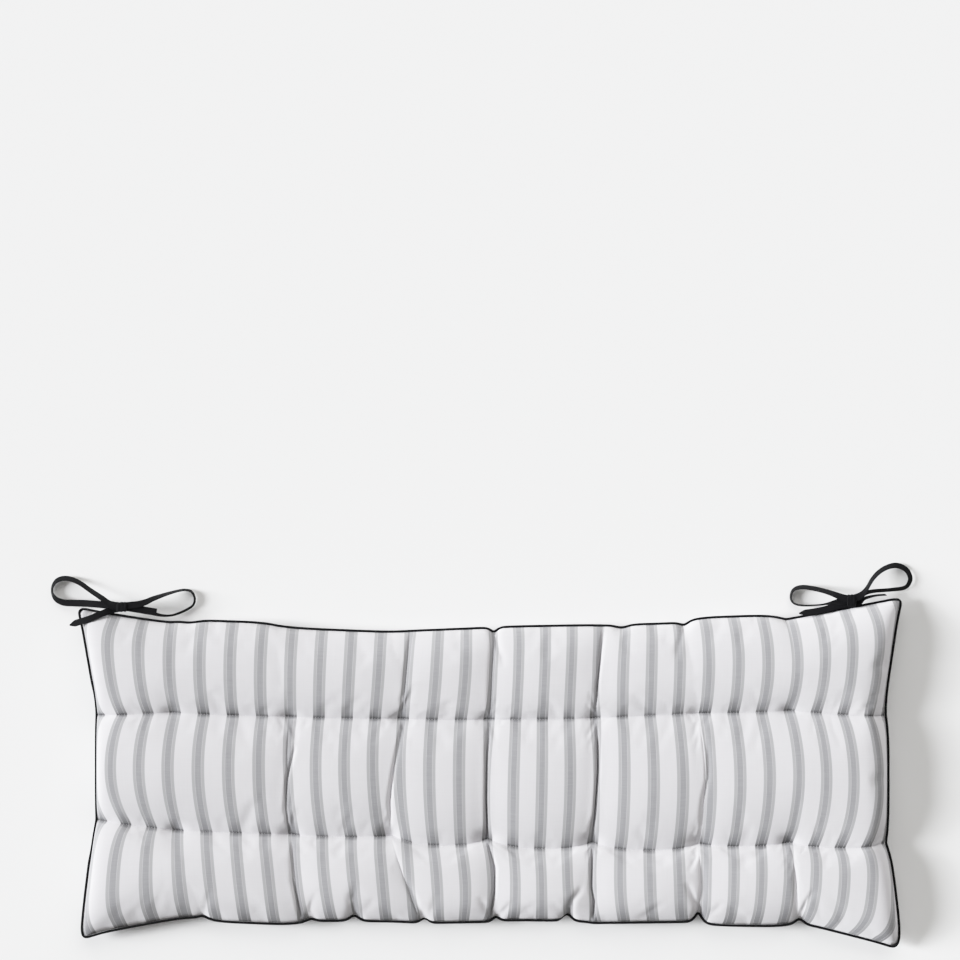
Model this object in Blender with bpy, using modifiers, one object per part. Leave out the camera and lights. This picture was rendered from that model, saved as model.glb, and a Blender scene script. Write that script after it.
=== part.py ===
"""A tufted bench cushion, piped in black, with a tape bow at each back corner.

It lies flat on its underside, in metres, +Z up: +X along the bench, +Y towards the back edge
with the bows. The origin is on the floor, in the middle of the whole object.
"""

import math

import bmesh
import bpy
from mathutils import Vector

MM = 0.001
GAP = 0.3 * MM

# The filling: heights above the floor, and the crowns of the front, middle and back bands.
RIM_HEIGHT = 30 * MM
CORNER_DROOP = 5 * MM
CORNER_REACH = 45 * MM
SEWN_TOP = 45 * MM
SEWN_UNDER = 13 * MM
TUFT_PINCH = 6 * MM
TUFT_REACH = 16 * MM
CROWNS = (67 * MM, 75 * MM, 69 * MM)
END_CROWN_SHARE = 0.95
UNDER_FULLNESS = 8 * MM

# The shape of a puff between two lines: a power of how far it is from them.
PUFF_ROUNDNESS = 2.2
SEWN_STEEPNESS = 0.62
RIM_STEEPNESS = 0.85
EDGE_ROUNDNESS = 2.6
CORNER_TUCK = 3 * MM
CORNER_TUCK_REACH = 12 * MM
SIDE_FADE = 0.35

# Steps across each puff and along it, and how near two points are that are sewn into one.
STEPS_ACROSS = 8
STEPS_ALONG = 8
WELD = 0.02 * MM

# The lines that run from the front edge to the back one, in millimetres from the cushion's
# middle: the two side edges and the seven creases, with their places at the piping of the front
# edge, on the front and back sewn lines and at the piping of the back edge. The last three
# columns say how far a crease is pulled down in the front, middle and back bands, from 0 to 1.
#  x_front y_front x_sewn1 y_sewn1 x_sewn2 y_sewn2 x_back y_back  front middle back
LINES = (
    (-609, -247, -587, -71, -587, 85, -611, 245, 1.0, 1.0, 1.0),
    (-427, -214, -464, -85, -470, 97, -473, 225, 0.50, 0.30, 0.30),
    (-266, -217, -292, -94, -296, 83, -317, 217, 0.60, 0.50, 0.30),
    (-103, -220, -146, -95, -129, 82, -107, 208, 0.65, 0.60, 0.45),
    (10, -217, -3, -98, -1, 82, 1, 208, 0.90, 0.90, 0.80),
    (155, -222, 152, -103, 158, 82, 170, 214, 0.85, 0.85, 0.60),
    (310, -210, 311, -106, 308, 88, 287, 219, 0.65, 0.50, 0.40),
    (461, -220, 434, -104, 430, 91, 433, 228, 0.50, 0.40, 0.30),
    (608, -258, 589, -106, 589, 82, 610, 257, 1.0, 1.0, 1.0),
)

# How far each puff swells past the straight line between its cusps, in millimetres, at the front
# edge and the back edge, from the left; then at the left and right edges, from the front.
FRONT_SWELL = (-6, 8, 7, 6, 5, 4, 8, 0)
BACK_SWELL = (2, 8, -1, 3, 6, 2, 8, 1)
LEFT_SWELL = (2, 1, -3)
RIGHT_SWELL = (6, 4, -3)

PIPING_RADIUS = 2 * MM
PIPING_BEVEL_STEPS = 2

TAPE_WIDTH = 10.5 * MM
TAPE_THICKNESS = 1.2 * MM
TAPE_STEP = 7 * MM
TAPE_POINT = 0.25
KNOT_ROUNDING = 0.35

# Knots: x, y and z of the middle and the width, depth and height, in millimetres.
KNOTS = {
    "knot_left": (-547.6, 247.5, 38.2, 12.0, 16.0, 11.6),
    "knot_right": (537.3, 254.5, 38.2, 9.0, 19.0, 11.6),
}

# Tapes: the points of each route in millimetres from the cushion's middle and the floor, with
# the lean in degrees, 0 where the tape stands on its edge and 90 either way where it is flat.
LOOPS = {
    "loop_left_outer": (
        (-554.2, 251, 41.2, 87), (-560, 253, 41, 84), (-569, 263, 38.3, 74), (-581, 274, 31.5, 60),
        (-603, 287, 21, 45), (-631, 291.6, 12, 50), (-648, 284, 8, 30), (-655.5, 270, 6.5, 15),
        (-649, 258, 7.5, 35), (-631, 253, 11, 62), (-605, 252.5, 19.5, 72), (-583, 253.5, 28, 77),
        (-571, 254.5, 34.5, 80), (-561, 252, 37.8, 86), (-554.2, 250.5, 37.9, 88),
    ),
    "loop_left_inner": (
        (-541, 250.5, 41.2, -88), (-534, 251.8, 41, -84), (-522, 257, 39, -74),
        (-504, 264.5, 32, -60), (-477, 270.8, 19, -50), (-458, 273.5, 10, -40),
        (-445.5, 267, 6.2, -12), (-440.4, 256, 5.8, 0), (-447, 246, 6.2, 0), (-462, 238, 10, 0),
        (-478, 233.5, 17, -2), (-494, 235.5, 24, -10), (-508, 238.8, 29.3, -28),
        (-523, 243, 32.8, -62), (-535, 246, 34.5, -84), (-541, 246.5, 34.6, -88),
    ),
    "loop_right_inner": (
        (532.3, 259.5, 41.2, 87), (525, 261, 41, 84), (516, 265.5, 39.5, 80), (506, 269, 35.5, 76),
        (484, 276, 26, 65), (466, 278, 17, 50), (454, 272.5, 9, 20), (448, 262, 5.8, 2),
        (449.5, 252, 5.9, 4), (457.5, 246.5, 7, 12), (470, 246, 12, 25), (484, 248.5, 20, 45),
        (497, 254.5, 32.5, 66), (508, 257.5, 37.2, 78), (519, 257, 38, 86),
        (532.3, 256, 37.9, 88),
    ),
    "loop_right_outer": (
        (542.4, 260.5, 41.2, -88), (547, 263, 41.0, -80), (553, 270, 38.5, -52), (560, 279, 32, -16),
        (566, 288, 26, -25), (574.5, 298, 20, -48), (588, 306, 13, -58), (607, 309.5, 8, -58),
        (620.5, 304, 6.8, -45), (627, 291.5, 6.4, -32), (626, 281.5, 6.6, -35),
        (617, 274.5, 8, -45), (596, 271.5, 13.5, -50), (573, 270.5, 22, -46),
        (558, 268.5, 31, -46), (550, 264.3, 36.6, -70), (543, 260.8, 37.9, -87),
    ),
}
TAILS = {
    "tail_left_outer": (
        (-554.2, 244, 34.6, 88), (-562, 242.5, 34.8, 89), (-577, 237, 38.2, 62),
        (-594, 230, 39.5, 60), (-611, 224, 36.5, 64), (-624, 219, 34.5, 70),
    ),
    "tail_left_inner": (
        (-540.8, 246.6, 37.9, 88), (-535, 246.2, 37.9, 88), (-525, 244, 37.6, 87),
        (-511, 241, 36.8, 86), (-496, 238.5, 36.2, 84),
    ),
    "tail_right_inner": (
        (532.3, 250.3, 34.6, 88), (524, 249.3, 34.6, 87), (512, 246.3, 34.9, 80),
        (500, 242.5, 35.2, 72), (482, 239, 35.3, 64), (462, 236.5, 34.8, 58),
    ),
    "tail_right_outer": (
        (542.6, 250.5, 34.6, -88), (546, 250.9, 34.6, -84), (551, 254.2, 34.2, -40),
        (557, 258.2, 33.8, -10),
        (573, 262.3, 32.5, -4), (589, 263.2, 29.5, 0),
    ),
}
POINTED_TAILS = ("tail_left_outer", "tail_right_inner")

CUSHION_COLOUR = (0.80, 0.79, 0.82)
BLACK_COLOUR = (0.018, 0.018, 0.024)


def clear_scene():
    for old in list(bpy.data.objects):
        bpy.data.objects.remove(old, do_unlink=True)


def make_material(name, colour, roughness):
    material = bpy.data.materials.new(name)
    material.use_nodes = True
    shader = material.node_tree.nodes["Principled BSDF"]
    shader.inputs["Base Color"].default_value = (*colour, 1.0)
    shader.inputs["Roughness"].default_value = roughness
    shader.inputs["Metallic"].default_value = 0.0
    return material


def mix(a, b, share):
    return a + (b - a) * share


# ---------------------------------------------------------------- the cushion's plan

LAST_PUFF = len(LINES) - 2
LAST_BAND = len(CROWNS) - 1
FIRST_PULL = 8


def line_point(line, row):
    """A crossing of LINES, drawn in at the outer edges by the piping's place beside them."""
    x, y = LINES[line][2 * row] * MM, LINES[line][2 * row + 1] * MM
    inset = PIPING_RADIUS + GAP
    x += inset * ((line == 0) - (line == LAST_PUFF + 1))
    y += inset * ((row == 0) - (row == LAST_BAND + 1))
    return Vector((x, y))


def swell(share):
    return 1 - abs(2 * share - 1) ** EDGE_ROUNDNESS


def plan_point(puff, band, s, t):
    """The place on plan of share s across a puff, from the left, and t along it, from the front."""
    near = line_point(puff, band).lerp(line_point(puff + 1, band), s)
    far = line_point(puff, band + 1).lerp(line_point(puff + 1, band + 1), s)
    point = near.lerp(far, t)
    if band == 0:
        point.y -= FRONT_SWELL[puff] * MM * swell(s) * (1 - t) ** 2
    if band == LAST_BAND:
        point.y += BACK_SWELL[puff] * MM * swell(s) * t**2
    if puff == 0:
        point.x -= LEFT_SWELL[band] * MM * swell(t) * (1 - s) ** 2
    if puff == LAST_PUFF:
        point.x += RIGHT_SWELL[band] * MM * swell(t) * s**2
    for line, row, towards in corner_list():
        corner = line_point(line, row)
        reach = max(0.0, 1 - (point - corner).length / CORNER_TUCK_REACH)
        point += towards * CORNER_TUCK * reach
    return point


def corner_list():
    inward = math.sqrt(0.5)
    for line, side in ((0, 1), (LAST_PUFF + 1, -1)):
        for row, end in ((0, 1), (LAST_BAND + 1, -1)):
            yield line, row, Vector((side * inward, end * inward))


# ---------------------------------------------------------------- the filling's height

def puff_profile(share, start_is_rim, end_is_rim):
    """0 on the lines at both ends and 1 in the middle, steeper at a sewn line than at the rim."""
    start = RIM_STEEPNESS if start_is_rim else SEWN_STEEPNESS
    end = RIM_STEEPNESS if end_is_rim else SEWN_STEEPNESS
    return (1 - abs(2 * share - 1) ** PUFF_ROUNDNESS) ** mix(start, end, share)


def rim_height(point):
    nearest = min((point - line_point(line, row)).length for line, row, _ in corner_list())
    return RIM_HEIGHT - CORNER_DROOP * math.exp(-((nearest / CORNER_REACH) ** 2))


def tuft_pull(point):
    pull = 0.0
    for line in range(1, LAST_PUFF + 1):
        for row in (1, 2):
            distance = (point - line_point(line, row)).length
            pull = max(pull, math.exp(-((distance / TUFT_REACH) ** 2)))
    return pull


def eased(share):
    share = min(1.0, share)
    return share * share * (3 - 2 * share)


def sewn_height(puff, s, point, rim, under):
    """The height of a sewn line, pinched at its tufts and ending at the rim on both sides."""
    pinch = TUFT_PINCH * tuft_pull(point)
    sewn = SEWN_UNDER + pinch if under else SEWN_TOP - pinch
    if puff == 0:
        return mix(rim, sewn, eased(s / SIDE_FADE))
    if puff == LAST_PUFF:
        return mix(rim, sewn, eased((1 - s) / SIDE_FADE))
    return sewn


def crease_pull(puff, band, s):
    """How far the creases beside a puff pull it down, which an end puff has on one side only."""
    left, right = LINES[puff][FIRST_PULL + band], LINES[puff + 1][FIRST_PULL + band]
    if puff in (0, LAST_PUFF):
        return left if s < 0.5 else right
    return mix(left, right, eased(s))


def surface_height(puff, band, s, t, under):
    """The height of the top or the underside, which is flat where it meets the floor."""
    point = plan_point(puff, band, s, t)
    rim = rim_height(point)
    sewn = sewn_height(puff, s, point, rim, under)
    level = mix(rim if band == 0 else sewn, rim if band == LAST_BAND else sewn, t)
    along = puff_profile(t, band == 0, band == LAST_BAND)
    across = puff_profile(s, puff == 0, puff == LAST_PUFF)
    fullness = along * (1 - crease_pull(puff, band, s) * (1 - across))
    if under:
        return max(0.0, mix(level, -UNDER_FULLNESS, fullness))
    crown = CROWNS[band] * (END_CROWN_SHARE if puff in (0, LAST_PUFF) else 1)
    return mix(level, crown, fullness)


def clustered(step, steps):
    """Shares that stand closer together at the two ends."""
    return 0.5 - 0.5 * math.cos(math.pi * step / steps)


def grid_place(column, row):
    puff = min(column // STEPS_ACROSS, LAST_PUFF)
    band = min(row // STEPS_ALONG, LAST_BAND)
    s = clustered(column - puff * STEPS_ACROSS, STEPS_ACROSS)
    t = clustered(row - band * STEPS_ALONG, STEPS_ALONG)
    return puff, band, s, t


COLUMNS = STEPS_ACROSS * (LAST_PUFF + 1)
ROWS = STEPS_ALONG * (LAST_BAND + 1)


def make_cushion(collection, material):
    """Two grids, one for each panel, shaped and sewn together round the rim."""
    mesh = bpy.data.meshes.new("cushion")
    body = bmesh.new()
    for under in (False, True):
        panel = bmesh.ops.create_grid(body, x_segments=COLUMNS, y_segments=ROWS, size=0.5)["verts"]
        for vert in panel:
            place = grid_place(round((vert.co.x + 0.5) * COLUMNS), round((vert.co.y + 0.5) * ROWS))
            vert.co = (*plan_point(*place), surface_height(*place, under))
        if under:
            faces = {face for vert in panel for face in vert.link_faces}
            bmesh.ops.reverse_faces(body, faces=list(faces))
    bmesh.ops.remove_doubles(body, verts=body.verts, dist=WELD)
    body.to_mesh(mesh)
    body.free()
    mesh.materials.append(material)
    mesh.shade_smooth()
    cushion = bpy.data.objects.new("cushion", mesh)
    collection.objects.link(cushion)
    return cushion


# ---------------------------------------------------------------- piping

def rim_loop():
    """The rim's points in order, from the front left corner and along the front edge."""
    places = [(column, 0) for column in range(COLUMNS)]
    places += [(COLUMNS, row) for row in range(ROWS)]
    places += [(column, ROWS) for column in range(COLUMNS, 0, -1)]
    places += [(0, row) for row in range(ROWS, 0, -1)]
    points = []
    for column, row in places:
        plan = plan_point(*grid_place(column, row))
        points.append(Vector((*plan, rim_height(plan))))
    return points


def outward_offset(points, distance):
    """The closed route beside the points, with each stretch at the distance from its own."""
    moved = []
    for before, point, after in zip(points[-1:] + points[:-1], points, points[1:] + points[:1]):
        arriving = (point - before).xy.normalized()
        leaving = (after - point).xy.normalized()
        middle = (arriving + leaving).normalized()
        outward = Vector((middle.y, -middle.x))
        reach = distance / max(0.5, middle.dot(arriving))
        moved.append(point + Vector((*(outward * reach), 0)))
    return moved


def make_piping(collection, material):
    route = outward_offset(rim_loop(), PIPING_RADIUS + GAP)
    curve = bpy.data.curves.new("piping", "CURVE")
    curve.dimensions = "3D"
    curve.twist_mode = "Z_UP"
    curve.bevel_depth = PIPING_RADIUS
    curve.bevel_resolution = PIPING_BEVEL_STEPS
    spline = curve.splines.new("POLY")
    spline.points.add(len(route) - 1)
    for point, place in zip(spline.points, route):
        point.co = (*place, 1)
    spline.use_cyclic_u = True
    curve.materials.append(material)
    piping = bpy.data.objects.new("piping", curve)
    collection.objects.link(piping)
    return piping


# ---------------------------------------------------------------- bows

def smooth_through(rows, step):
    """Points about a step apart on a smooth curve through the rows, with the lean of each."""
    points = []
    for index in range(len(rows) - 1):
        before = Vector(rows[max(index - 1, 0)])
        start, end = Vector(rows[index]), Vector(rows[index + 1])
        after = Vector(rows[min(index + 2, len(rows) - 1)])
        pieces = max(1, round((end.xyz - start.xyz).length / step))
        for piece in range(pieces):
            u = piece / pieces
            points.append(0.5 * (
                2 * start + (end - before) * u
                + (2 * before - 5 * start + 4 * end - after) * u**2
                + (3 * start - before - 3 * end + after) * u**3))
    return points + [Vector(rows[-1])]


def make_tape(collection, name, route, material, pointed):
    """A flat tape: a curve's ribbon, leaning as the route says, and thickened to both sides."""
    rows = [(x * MM, y * MM, z * MM, math.radians(lean)) for x, y, z, lean in route]
    points = smooth_through(rows, TAPE_STEP)
    curve = bpy.data.curves.new(name, "CURVE")
    curve.dimensions = "3D"
    curve.twist_mode = "Z_UP"
    curve.extrude = TAPE_WIDTH / 2
    spline = curve.splines.new("POLY")
    spline.points.add(len(points) - 1)
    for point, place in zip(spline.points, points):
        point.co = (*place.xyz, 1)
        point.tilt = place.w
    if pointed:
        spline.points[-1].radius = TAPE_POINT
    curve.materials.append(material)
    tape = bpy.data.objects.new(name, curve)
    collection.objects.link(tape)
    thick = tape.modifiers.new("thickness", "SOLIDIFY")
    thick.thickness = TAPE_THICKNESS
    thick.offset = 0
    return tape


def make_knot(collection, name, sizes, material):
    """The tape that is wrapped round the bow's middle, as one rounded block."""
    x, y, z, width, depth, height = (size * MM for size in sizes)
    mesh = bpy.data.meshes.new(name)
    block = bmesh.new()
    bmesh.ops.create_cube(block, size=1.0)
    bmesh.ops.scale(block, vec=(width, depth, height), verts=block.verts)
    bmesh.ops.bevel(
        block, geom=list(block.edges), offset=height * KNOT_ROUNDING, segments=2,
        profile=0.5, affect="EDGES")
    block.to_mesh(mesh)
    block.free()
    mesh.materials.append(material)
    knot = bpy.data.objects.new(name, mesh)
    knot.location = (x, y, z)
    collection.objects.link(knot)
    return knot


# ---------------------------------------------------------------- the whole object

def centre_on_origin(objects):
    """Stand the object on the floor with the middle of its box over the origin."""
    bpy.context.view_layer.update()
    depsgraph = bpy.context.evaluated_depsgraph_get()
    corners = []
    for each in objects:
        shown = each.evaluated_get(depsgraph)
        mesh = shown.to_mesh()
        corners += [shown.matrix_world @ vert.co for vert in mesh.vertices]
        shown.to_mesh_clear()
    low = Vector([min(corner[axis] for corner in corners) for axis in range(3)])
    high = Vector([max(corner[axis] for corner in corners) for axis in range(3)])
    shift = Vector((-(low.x + high.x) / 2, -(low.y + high.y) / 2, -low.z))
    for each in objects:
        each.location += shift


def main():
    clear_scene()
    collection = bpy.data.collections.new("bench_cushion")
    bpy.context.scene.collection.children.link(collection)
    cover = make_material("striped_cotton", CUSHION_COLOUR, 0.85)
    black = make_material("black_cotton", BLACK_COLOUR, 0.8)
    objects = [make_cushion(collection, cover), make_piping(collection, black)]
    for name, sizes in KNOTS.items():
        objects.append(make_knot(collection, name, sizes, black))
    for name, route in {**LOOPS, **TAILS}.items():
        objects.append(make_tape(collection, name, route, black, name in POINTED_TAILS))
    centre_on_origin(objects)


main()
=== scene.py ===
# Bench cushion: striped cotton tufted in two rows, black piping, a tape bow at each back corner.
import math
from functools import partial

import bmesh
import bpy
import numpy as np
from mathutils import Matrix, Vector


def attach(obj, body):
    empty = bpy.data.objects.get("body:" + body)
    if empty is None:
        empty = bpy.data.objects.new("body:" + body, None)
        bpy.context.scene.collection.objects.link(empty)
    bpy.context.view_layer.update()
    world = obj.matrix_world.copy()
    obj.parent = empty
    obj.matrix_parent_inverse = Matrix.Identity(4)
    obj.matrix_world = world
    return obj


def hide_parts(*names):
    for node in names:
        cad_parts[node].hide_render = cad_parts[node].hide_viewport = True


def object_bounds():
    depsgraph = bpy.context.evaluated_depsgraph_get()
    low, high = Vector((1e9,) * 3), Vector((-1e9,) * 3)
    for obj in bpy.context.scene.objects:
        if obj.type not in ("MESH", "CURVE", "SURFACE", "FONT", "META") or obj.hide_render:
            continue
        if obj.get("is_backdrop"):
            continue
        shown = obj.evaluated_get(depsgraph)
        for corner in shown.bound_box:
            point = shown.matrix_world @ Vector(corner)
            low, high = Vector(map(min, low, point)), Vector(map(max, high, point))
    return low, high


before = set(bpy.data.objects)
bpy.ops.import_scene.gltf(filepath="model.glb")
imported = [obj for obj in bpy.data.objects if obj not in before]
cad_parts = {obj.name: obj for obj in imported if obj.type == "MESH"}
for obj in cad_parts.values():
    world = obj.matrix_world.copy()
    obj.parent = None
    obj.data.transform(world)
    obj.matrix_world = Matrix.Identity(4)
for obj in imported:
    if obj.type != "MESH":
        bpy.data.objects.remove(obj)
cadLow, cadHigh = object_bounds()
mm = 0.001
print("frame loaded")

# the cushion's middle stands off the frame's origin, because the bows count in the whole box
middle = np.array(Vector((13.588 * mm, -28.257 * mm, 0.0)))

# straight down, as the photo is taken, with the cushion low in the frame
viewSet = {
    "pixels": 960,
    "photoMiddle": (490, 772),  # the cushion's middle in the photo
    "metresPerPixel": 1.488 * mm,
    "height": 5.2,
    "sensor": 36.0,
    "aimHeight": 0.03,
}


def addView(s):
    half = s["pixels"] / 2
    x = (half - s["photoMiddle"][0]) * s["metresPerPixel"]
    y = (s["photoMiddle"][1] - half) * s["metresPerPixel"]
    lens = bpy.data.cameras.new("photoCamera")
    lens.sensor_width = s["sensor"]
    width = s["pixels"] * s["metresPerPixel"]
    lens.lens = s["sensor"] * (s["height"] - s["aimHeight"]) / width
    camera = bpy.data.objects.new("photoCamera", lens)
    camera.location = (middle[0] + x, middle[1] + y, s["height"])
    bpy.context.scene.collection.objects.link(camera)
    bpy.context.scene.camera = camera


def mix(a, b, share):
    return a + (b - a) * share


def eased(share):
    share = np.clip(share, 0.0, 1.0)
    return share * share * (3 - 2 * share)


def bell(away, reach):
    return np.exp(-((away / reach) ** 2))


def dome(share, roundness):
    return 1 - np.abs(2 * share - 1) ** roundness


def squared(wave, edge):
    # a sine or cosine pushed out towards a rounded oblong
    return np.sign(wave) * np.abs(wave) ** (2 / edge)


def turnsOf(sides):
    return np.arange(sides) / sides * 2 * np.pi


def unit(vectors):
    return vectors / np.linalg.norm(vectors, axis=-1, keepdims=True)


def runOf(path):
    # the length of a path up to each of its points
    return np.concatenate([[0], np.cumsum(np.linalg.norm(np.diff(path, axis=0), axis=1))])


def axesOf(ahead):
    # along a path, to its right and up from it
    ahead = unit(ahead)
    side = unit(np.cross(ahead, (0, 0, 1)))
    return ahead, side, np.cross(side, ahead)


def newPiece(name, points, faces):
    mesh = bpy.data.meshes.new(name)
    mesh.from_pydata(points.tolist(), [], faces)
    piece = bpy.data.objects.new(name, mesh)
    bpy.context.scene.collection.objects.link(piece)
    return piece


def mapped(piece, places):
    layer = piece.data.uv_layers.new(name="cloth")
    layer.data.foreach_set("uv", places.ravel())
    piece.data.shade_smooth()
    return piece


def outwards(piece):
    fixed = bmesh.new()
    fixed.from_mesh(piece.data)
    bmesh.ops.recalc_face_normals(fixed, faces=fixed.faces)
    fixed.to_mesh(piece.data)
    fixed.free()
    return piece


cushionSet = {
    # the nine lines from the left end to the right one: x and y in millimetres at the front
    # edge, the two sewn rows and the back edge
    "linePlaces": (
        (-609, -250, -587, -71, -587, 85, -615, 246),
        (-427, -217, -464, -86, -470, 90, -473, 224),
        (-276, -223, -295, -92, -296, 84, -317, 219),
        (-103, -225, -146, -94, -131, 81, -119, 211),
        (4, -223, -4, -99, -1, 80, 3, 216),
        (155, -225, 152, -104, 157, 82, 168, 219),
        (310, -223, 311, -106, 308, 89, 287, 223),
        (455, -225, 445, -104, 445, 93, 440, 228),
        (608, -264, 589, -106, 589, 84, 615, 260),
    ),
    # the stripe that lies at each of those places
    "lineStripes": (
        (-1.2, -1.25, -1.2, -1.25), (2.53, 2.0, 1.93, 2.0), (6.02, 5.9, 5.97, 5.45),
        (10.2, 9.42, 9.95, 9.98), (13.22, 13.0, 13.0, 12.95), (16.97, 17.0, 17.03, 17.15),
        (20.7, 20.77, 20.75, 20.2), (24.55, 24.08, 24.03, 23.82), (28.8, 27.95, 28.0, 28.1),
    ),
    # how far each line's crease is pulled down in the front, middle and back bands
    "linePulls": (
        (1, 1, 1), (0, 0, 0), (0.28, 0.25, 0), (0.25, 0.3, 0.22), (0.42, 0.42, 0.32),
        (0.4, 0.42, 0.3), (0.3, 0.22, 0), (0.18, 0, 0), (1, 1, 1),
    ),
    # and how far it bows to the right there, in millimetres
    "lineBows": (
        (0, 0, 0), (0, -9, -3), (0, -4, 0), (0, -6, 2), (7, -2, 3), (-3, 3, -3), (0, 6, 2),
        (3, 12, 8), (0, 0, 0),
    ),
    # how far each puff's sewn line sags to the front between two lines, in millimetres
    "sags": ((0, 0, 2, 11, 11, 10, 4, 6), (0, 1, 1, 1, 1, 0, 1, 1)),
    # cusps of the front and back edges: x, depth and reach in millimetres
    "frontNicks": ((-426, 3, 8), (-266, 4, 8), (-202, 9, 9), (-98, 5, 8), (9, 7, 7), (116, 9, 8),
                   (310, 14, 8), (461, 7, 8)),
    "backNicks": ((-446, 3, 16), (6, 7, 7), (196, 4, 12), (290, 4, 8)),
    "frontSwell": (-6, 5, -2, 0, -3, 0, 5, -3),  # past the straight, in mm
    "backSwell": (-2, 4, -3, 0, 1, 0, 7, 0),
    "leftSwell": (2, 1, -3), "rightSwell": (6, 4, -4),
    "sagRoundness": 2.4,
    "nickFade": 4,  # how fast a cusp of the edge dies away inwards
    "inset": 2.3 * mm,  # of the cover's own seam from the piping's middle
    "stripeSmoothing": 12,  # rounds of it, along each stripe
    "cornerTuck": 3 * mm, "cornerTuckReach": 12 * mm,
    "pitch": 44 * mm,  # of the stripes on the flat cloth
    "panelRows": (0.0, 0.15, 0.35, 0.505),  # seams and sewn lines on the flat cloth
    "slack": 0.008,  # how much larger the cloth is than the filling, both ways
    "creaseCloth": 5 * mm,  # more of it where a crease is fully pulled down
    "creaseReach": 10 * mm,
    "creaseFade": 0.6,  # how slowly that dies away towards its ends
    "creaseHold": 0.5,  # how firmly a fully pulled crease is held down
    "leastPull": 0.05,  # less than this is no crease
    "cell": 4.8 * mm,  # of the grid that is simulated
    "gathering": 0.55,  # how much closer it stands at sewn lines
    "calmReach": 16 * mm,  # how far round a line without a crease
    "calming": 40,  # rounds of smoothing there
    "calmSpots": ((-148, -104, 22), (-297, -102, 14)),  # x, y and reach in millimetres
    "fineCell": 3.65 * mm,
    "fineGathering": 0.7,
    "rimHeight": 30 * mm,
    "cornerDroop": 5 * mm, "cornerReach": 45 * mm,
    "sewnTop": (43 * mm, 53 * mm),
    "sewnUnder": 13 * mm,
    "rightLift": 8 * mm,  # the rows lie higher in the last puff
    "tuftPinch": 6 * mm, "tuftReach": 16 * mm,
    "crowns": (66 * mm, 73 * mm, 68 * mm),
    "endCrownShare": 0.95,
    "underFullness": 8 * mm,
    "underFollows": 0.4,  # the share of the top cloth's moves it makes
    # how flat each band's top is, and how slowly it falls to its front and to its back
    "bandRoundness": (2.5, 2.1, 2.6),
    "bandFalls": ((0.85, 0.55), (1.0, 0.6), (0.6, 0.75)),
    "puffRoundness": 2.6,
    "endRoundness": 6.0,
    "puffFalls": (0.6, 0.5),  # at a line and at the cushion's end
    "edgeRoundness": 4.0,
    "sideFades": (0.35, 0.2),
    # dimples where each line crosses the two rows: their middle from the crossing, depth, and
    # reach across and along, in millimetres
    "dimples": (((-3, 4), 5.5, (13, 9)), ((-2, 3), 4.0, (11, 7))),
    "foldFade": 0.6,
    "foldSkirt": (2.2, 0.25),  # how much wider and shallower the dip round a fold is
    # folds in the cover: places along them, depth and width in millimetres, and how firmly the
    # lips are drawn together
    "folds": (
        (((-287, 46), (-300, -8), (-303, -50), (-297, -90)), 6, 3.0, 0.45),
        (((-294, -100), (-292, -160), (-281, -216)), 3, 3.5, 0.35),
        (((-292, -158), (-286, -190), (-281, -216)), 5, 2.6, 0.45),
        (((-119, 204), (-125, 150), (-131, 84)), 2.5, 4.0, 0.3),
        (((-128, 76), (-142, 10), (-149, -40), (-147, -80)), 4.0, 3.6, 0.35),
        (((4, 207), (0, 140), (-1, 84)), 4, 3.6, 0.35),
        (((-1, 78), (-5, 30), (-6, -40), (-4, -96)), 5, 3.6, 0.4),
        (((-5, 44), (-6, -10), (-6, -40), (-4, -94)), 5, 2.6, 0.45),
        (((-3, -104), (8, -140), (6, -180), (0, -216)), 5, 3.2, 0.4),
        (((5, -178), (0, -219)), 4, 2.6, 0.4),
        (((168, 207), (160, 150), (156, 86)), 3.5, 3.6, 0.35),
        (((164, 172), (158, 130), (156, 92)), 3, 2.6, 0.4),
        (((158, 76), (160, 10), (157, -40), (152, -98)), 5, 3.4, 0.4),
        (((159, 50), (159, 5), (156, -40), (152, -92)), 6, 2.6, 0.45),
        (((152, -110), (149, -170), (155, -190), (152, -218)), 5, 3.2, 0.4),
        (((316, 62), (322, 30), (322, -5), (314, -40), (311, -95)), 3.5, 4.0, 0.3),
        (((447, -110), (452, -160), (452, -214)), 2.5, 4.0, 0.25),
        # small ones that run up from the cusps of the front edge
        (((-202, -212), (-206, -186), (-200, -160)), 4, 4.5, 0.2),
        (((-196, -214), (-180, -196), (-170, -184)), 2.5, 4.0, 0.15),
        (((-98, -218), (-110, -186), (-126, -154)), 3, 4.5, 0.2),
        (((-92, -218), (-84, -196), (-80, -176)), 2.5, 4.0, 0.15),
        (((12, -214), (24, -200), (34, -190)), 3, 4.0, 0.15),
        (((6, -216), (-8, -198), (-16, -182)), 2.5, 4.0, 0.15),
        (((116, -212), (122, -186), (136, -168)), 4.5, 4.5, 0.2),
        (((112, -214), (102, -200), (92, -192)), 2.5, 4.0, 0.15),
        (((312, -208), (300, -184), (290, -160)), 3.5, 4.5, 0.2),
        (((310, -206), (316, -170), (314, -130)), 3.5, 5.0, 0.2),
        (((322, -212), (336, -200), (344, -190)), 2.5, 4.0, 0.15),
        (((461, -214), (468, -190), (480, -170)), 3, 4.5, 0.2),
        (((-425, -210), (-418, -190), (-414, -170)), 2.5, 5.0, 0.15),
        (((7, 206), (16, 180), (20, 160)), 3, 4.5, 0.2),
        (((288, 214), (278, 190), (276, 170)), 2.5, 4.5, 0.15),
    ),
}

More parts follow.
